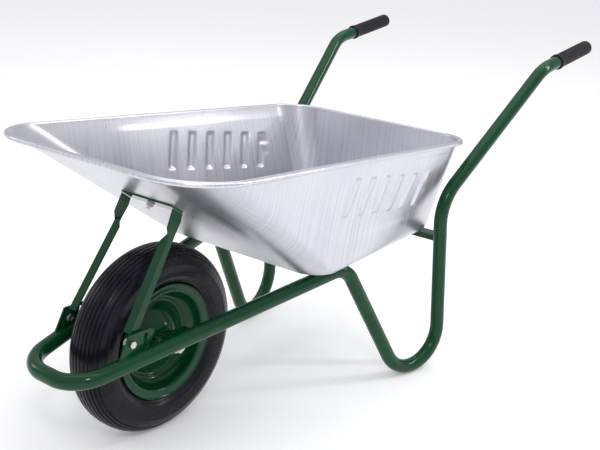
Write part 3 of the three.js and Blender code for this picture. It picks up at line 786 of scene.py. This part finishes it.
def build_balls(side, sign):
    """The balls of one bearing, as one piece."""
    points, faces = [], []
    rows, columns = 9, 16
    for k in range(BALLS["count"]):
        angle = 2 * math.pi * k / BALLS["count"]
        across = Vector((0, math.cos(angle), math.sin(angle))) * BALLS["circle"]
        centre = AXLE + (across + X * sign * BALLS["x"]) * MM
        first = len(points)
        for j in range(rows):
            tilt = math.pi * (j + 0.04) / (rows - 1 + 0.08)
            for i in range(columns):
                turn = 2 * math.pi * i / columns
                round_ = Vector((0, math.cos(turn), math.sin(turn)))
                reach = X * math.cos(tilt) + round_ * math.sin(tilt)
                points.append(centre + reach * BALLS["radius"] * MM)
        faces.extend(tuple(first + v for v in face) for face in capped(rows, columns))
    new_piece(f"{side}_balls_round", points, faces, STEEL, "wheel", [f"{side}_bearing_balls"], 80)


VALVE_ANGLE = math.radians(205)


def build_valve():
    axis = Quaternion(X, VALVE_ANGLE) @ Vector((0, 0, 1))
    origin = AXLE + Vector((-16, 0, 0)) * MM
    stem = [(TIP, 73), (2.6, 73), (3, 73.6), (3, 80), (4, 81.4), (4, 101), (4.8, 103.4), (8, 104.8),
            (8, 107), (TIP, 107)]
    solid_turned("valve_stem_moulded", stem, 40, origin, axis, TYRE, "wheel", ["valve_stem"])
    cap = [(TIP, 67.5), (2.6, 67.5), (4.2, 68.6), (4.6, 70.4), (4.6, 79), (3.3, 79), (3.3, 71.6),
           (TIP, 71.6)]
    solid_turned("valve_cap_moulded", cap, 32, origin, axis, BLACK_PLASTIC, "wheel", ["valve_cap"])


build_tyre()
build_tread_pips()
build_rims()
build_axle()
build_valve()
dress(nodes["inner_tube"], TYRE)


# ---------------------------------------------------------------- brackets, struts and bolts

FLAT_STEEL = [
    "left_strut", "right_strut", "strut_clamp_plate", "left_strut_bracket", "right_strut_bracket",
    "left_axle_bracket", "right_axle_bracket", "rear_cross_member",
]


def soften(obj, width):
    """Rounds the edges of a carried-over CAD piece."""
    bevel = obj.modifiers.new("edges", "BEVEL")
    bevel.width = width * MM
    bevel.segments = 2
    bevel.limit_method = "ANGLE"
    bevel.angle_limit = math.radians(32)


for name in FLAT_STEEL:
    dress(nodes[name], GREEN)
    soften(nodes[name], 0.55)

for name, node in nodes.items():
    if name.endswith(("_bolt", "_nut")):
        dress(node, ZINC)
        soften(node, 0.6)
    elif name.endswith("tray_washer"):
        dress(node, ZINC)
        soften(node, 0.35)


def coach_head(name, replaced):
    """A smooth round head and shank in place of a faceted tray bolt."""
    low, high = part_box(replaced)
    if replaced == "front_tray_bolt":
        wall = Vector((0, FLOOR_Z - RIM_Z_FRONT, RIM["front"] - FLOOR["front"])).normalized()
        axis = -wall
        shank = 20
    else:
        axis = Vector((0, 0, 1))
        shank = 18
    seat = coach_seat(low, high, axis, shank)
    profile = [(TIP, -shank), (3.4, -shank), (4, 0.8 - shank), (4, -0.1), (8.2, 0), (8.5, 0.35), (8.2, 0.9),
               (7.4, 1.7), (6, 2.5), (4.5, 3.1), (2.4, 3.5), (TIP, 3.6)]
    solid_turned(name, profile, 48, seat, axis, ZINC, "frame", [replaced], 50)


def coach_seat(low, high, axis, shank):
    """Where the head meets the sheet, from the piece's box."""
    if axis.z > 0.99:
        return Vector(((low.x + high.x) / 2, (low.y + high.y) / 2, low.z + shank * MM))
    tip_reach = 4 * MM * math.sqrt(1 - axis.z ** 2)
    tip_z = low.z + tip_reach
    reach_y = 4 * MM * abs(axis.z)
    tip_y = low.y + reach_y if axis.y > 0 else high.y - reach_y
    return Vector((0, tip_y, tip_z)) + axis * shank * MM


coach_head("front_tray_bolt_round", "front_tray_bolt")
coach_head("left_rear_tray_bolt_round", "left_rear_tray_bolt")
coach_head("right_rear_tray_bolt_round", "right_rear_tray_bolt")


def tube_x(y):
    """How far from the middle the lower straight run's centre line is."""
    return LOWER_RUN["x"] + LOWER_RUN["splay"] * y


def tube_z(y):
    return LOWER_RUN["z"] + LOWER_RUN["rise"] * y


def add_welds():
    for side, sign in SIDES.items():
        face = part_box(f"{side}_strut_bracket")
        outer = max(abs(face[0].x), abs(face[1].x)) / MM
        inner = min(abs(face[0].x), abs(face[1].x)) / MM
        for label, x in (("outer", outer), ("inner", inner)):
            ends = [(sign * x, y, weld_height(x, y)) for y in (-170, -101)]
            weld(f"{side}_strut_weld_{label}", *ends)
        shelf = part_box(f"{side}_axle_bracket")[1].z / MM - 2
        ends = [(sign * (tube_x(y) - 15.9), y, shelf) for y in (-80, 18)]
        weld(f"{side}_axle_weld", *ends)
        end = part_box("rear_cross_member")
        x = sign * (end[1].x / MM - 1)
        y = end[0].y / MM - AXLE.y / MM
        weld(f"{side}_cross_weld", (x, y - 0.5, end[0].z / MM + 1), (x, y - 0.5, end[1].z / MM - 1))


def weld_height(x, y):
    """The tube's upper surface beside a plate that stands on it."""
    across = min(15, abs(x - tube_x(y)))
    return tube_z(y) + math.sqrt(TUBE_RADIUS ** 2 - across ** 2)


add_welds()


# ---------------------------------------------------------------- floor, light and camera

def build_floor():
    mesh = bpy.data.meshes.new("studio_floor")
    reach = 14
    mesh.from_pydata([(-reach, -reach, 0), (reach, -reach, 0), (reach, reach, 0), (-reach, reach, 0)], [],
                     [(0, 1, 2, 3)])
    floor = bpy.data.objects.new("studio_floor", mesh)
    scene.collection.objects.link(floor)
    m = Nodes("pale_floor")
    cloud = m.noise(m.place(), 0.6, 2)
    m.link(m.ramp(cloud, (0.93, 0.93, 0.935), (0.955, 0.955, 0.955)), m.shader.inputs["Base Color"])
    m.set(Roughness=0.9, Specular_IOR_Level=0.1, Emission_Color=(1, 1, 1, 1), Emission_Strength=0.17)
    dress(floor, m.material)


def build_world():
    """A grey room, brighter overhead and white low down where it meets the floor."""
    world = bpy.data.worlds.new("studio")
    scene.world = world
    world.use_nodes = True
    tree = world.node_tree
    background = tree.nodes["Background"]
    coordinates = tree.nodes.new("ShaderNodeTexCoord")
    split = tree.nodes.new("ShaderNodeSeparateXYZ")
    ramp = tree.nodes.new("ShaderNodeValToRGB")
    ramp.color_ramp.elements[0].color = (0.95, 0.95, 0.96, 1)
    ramp.color_ramp.elements[1].color = (0.74, 0.74, 0.76, 1)
    ramp.color_ramp.elements[1].position = 0.7
    ramp.color_ramp.elements.new(0.16).color = (0.52, 0.52, 0.56, 1)
    tree.links.new(coordinates.outputs["Generated"], split.inputs[0])
    tree.links.new(split.outputs["Z"], ramp.inputs["Fac"])
    tree.links.new(ramp.outputs["Color"], background.inputs["Color"])
    background.inputs["Strength"].default_value = 1.0


def area_light(name, position, target, width, height, power):
    light = bpy.data.lights.new(name, "AREA")
    light.shape = "RECTANGLE"
    light.size, light.size_y = width, height
    light.energy = power
    obj = bpy.data.objects.new(name, light)
    scene.collection.objects.link(obj)
    obj.location = position
    obj.rotation_euler = (Vector(target) - Vector(position)).to_track_quat("-Z", "Y").to_euler()


def build_lights():
    area_light("overhead", (0.0, 0.8, 4.2), (0, 0.6, 0.3), 5.0, 5.0, 80)
    area_light("key", (1.6, -2.0, 2.1), (0, -0.3, 0.2), 0.4, 0.4, 12)
    area_light("strip", (2.0, 1.9, 2.0), (0, 0, 0.3), 0.2, 2.0, 20)
    area_light("fill", (-2.8, -1.6, 1.8), (0, 0, 0.4), 0.8, 0.8, 8)


CAMERA_AT = (1489.195, -1386.680, 1098.453)
CAMERA_RIGHT = (0.78313405, 0.62185292, 0)
CAMERA_UP = (-0.15241267, 0.19194177, 0.96949922)
CAMERA_ROLL = -0.04665145
FOCAL_PIXELS = 1058.516
CENTRE_PIXEL = (309.460, 157.255)


def build_camera():
    data = bpy.data.cameras.new("camera")
    camera = bpy.data.objects.new("camera", data)
    scene.collection.objects.link(camera)
    right, up = Vector(CAMERA_RIGHT), Vector(CAMERA_UP)
    x_axis = right * math.cos(CAMERA_ROLL) - up * math.sin(CAMERA_ROLL)
    y_axis = right * math.sin(CAMERA_ROLL) + up * math.cos(CAMERA_ROLL)
    z_axis = x_axis.cross(y_axis)
    turn = Matrix((x_axis, y_axis, z_axis)).transposed().to_4x4()
    camera.matrix_world = Matrix.Translation(place(*CAMERA_AT)) @ turn
    data.sensor_width = 36
    data.lens = FOCAL_PIXELS / 600 * 36
    data.shift_x = (300 - CENTRE_PIXEL[0]) / 600
    data.shift_y = (CENTRE_PIXEL[1] - 225) / 600
    data.clip_end = 60
    scene.camera = camera


build_floor()
build_world()
build_lights()
build_camera()
scene.view_settings.view_transform = "Standard"
